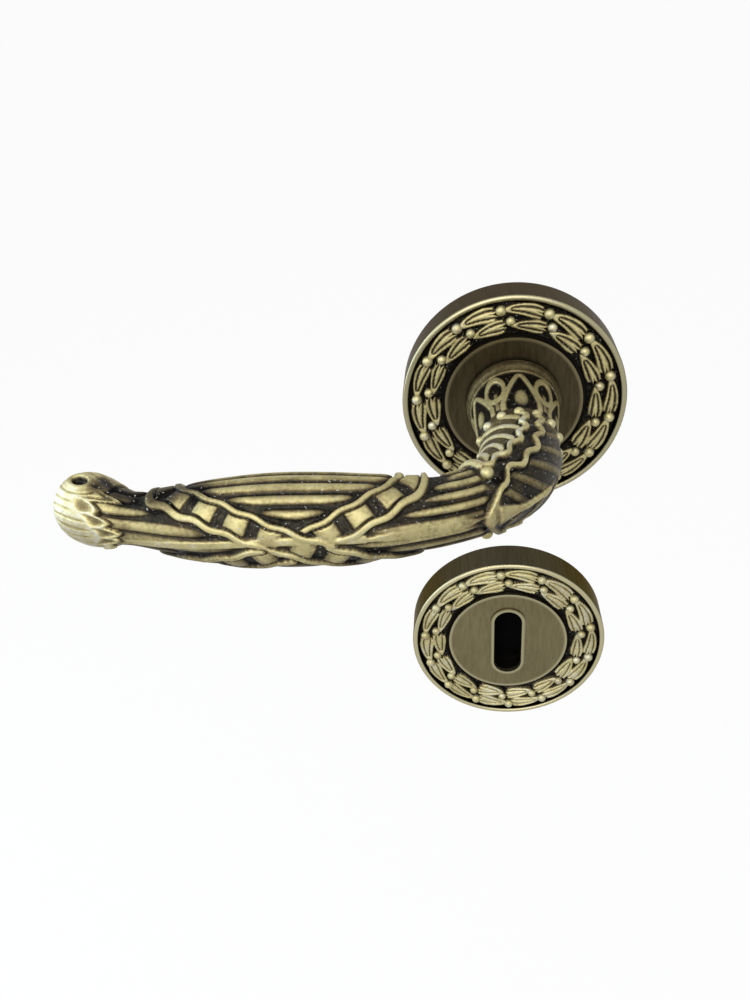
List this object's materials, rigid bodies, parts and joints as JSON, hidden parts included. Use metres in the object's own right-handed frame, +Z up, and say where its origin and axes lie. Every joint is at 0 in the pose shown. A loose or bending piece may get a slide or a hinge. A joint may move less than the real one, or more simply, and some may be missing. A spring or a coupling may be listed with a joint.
{
  "type": "door lever handle",
  "caption": "Antique brass door lever with a reeded, ribbon-bound grip on a round laurel rose, with a matching round keyhole escutcheon.",
  "frame": {"origin": "spindle axis where it meets the door face, the rose's back plane", "axes": "+Z up the door, +Y into the door along the spindle, -Y towards the user, the lever points to -X"},
  "size_m": [0.1189, 0.1291, 0.124],
  "materials": {
    "antique_brass": "satin",
    "brushed_bronze": "satin",
    "zinc_casting": "matte",
    "zinc_plate": "satin",
    "spring_steel": "satin",
    "black_steel": "matte",
    "nylon": "satin"
  },
  "bodies": {
    "door_furniture": {"rose_shell": "brushed_bronze", "rose_wreath": "antique_brass", "rose_disc": "brushed_bronze", "rose_base": "zinc_casting", "neck_bush": "nylon", "return_spring": "spring_steel", "spring_cover": "zinc_plate", "cover_screws": "zinc_plate", "thrust_washer": "zinc_plate", "through_bolts": "zinc_plate", "escutcheon_shell": "brushed_bronze", "escutcheon_wreath": "antique_brass", "escutcheon_disc": "brushed_bronze", "escutcheon_base": "zinc_casting", "escutcheon_screws": "zinc_plate"},
    "lever": {"lever_handle": "antique_brass", "spindle": "zinc_plate", "grub_screw": "black_steel", "driver_plate": "zinc_plate", "circlip": "spring_steel"}
  },
  "joints": [
    {"name": "lever_turn", "type": "hinge", "parent": "door_furniture", "child": "lever", "pos_m": [0, 0, 0], "axis": [0, -1, 0], "range_deg": [0, 40], "stiffness_Nm_per_rad": 1, "springref_deg": -28.65, "deforming": ["return_spring"]}
  ]
}
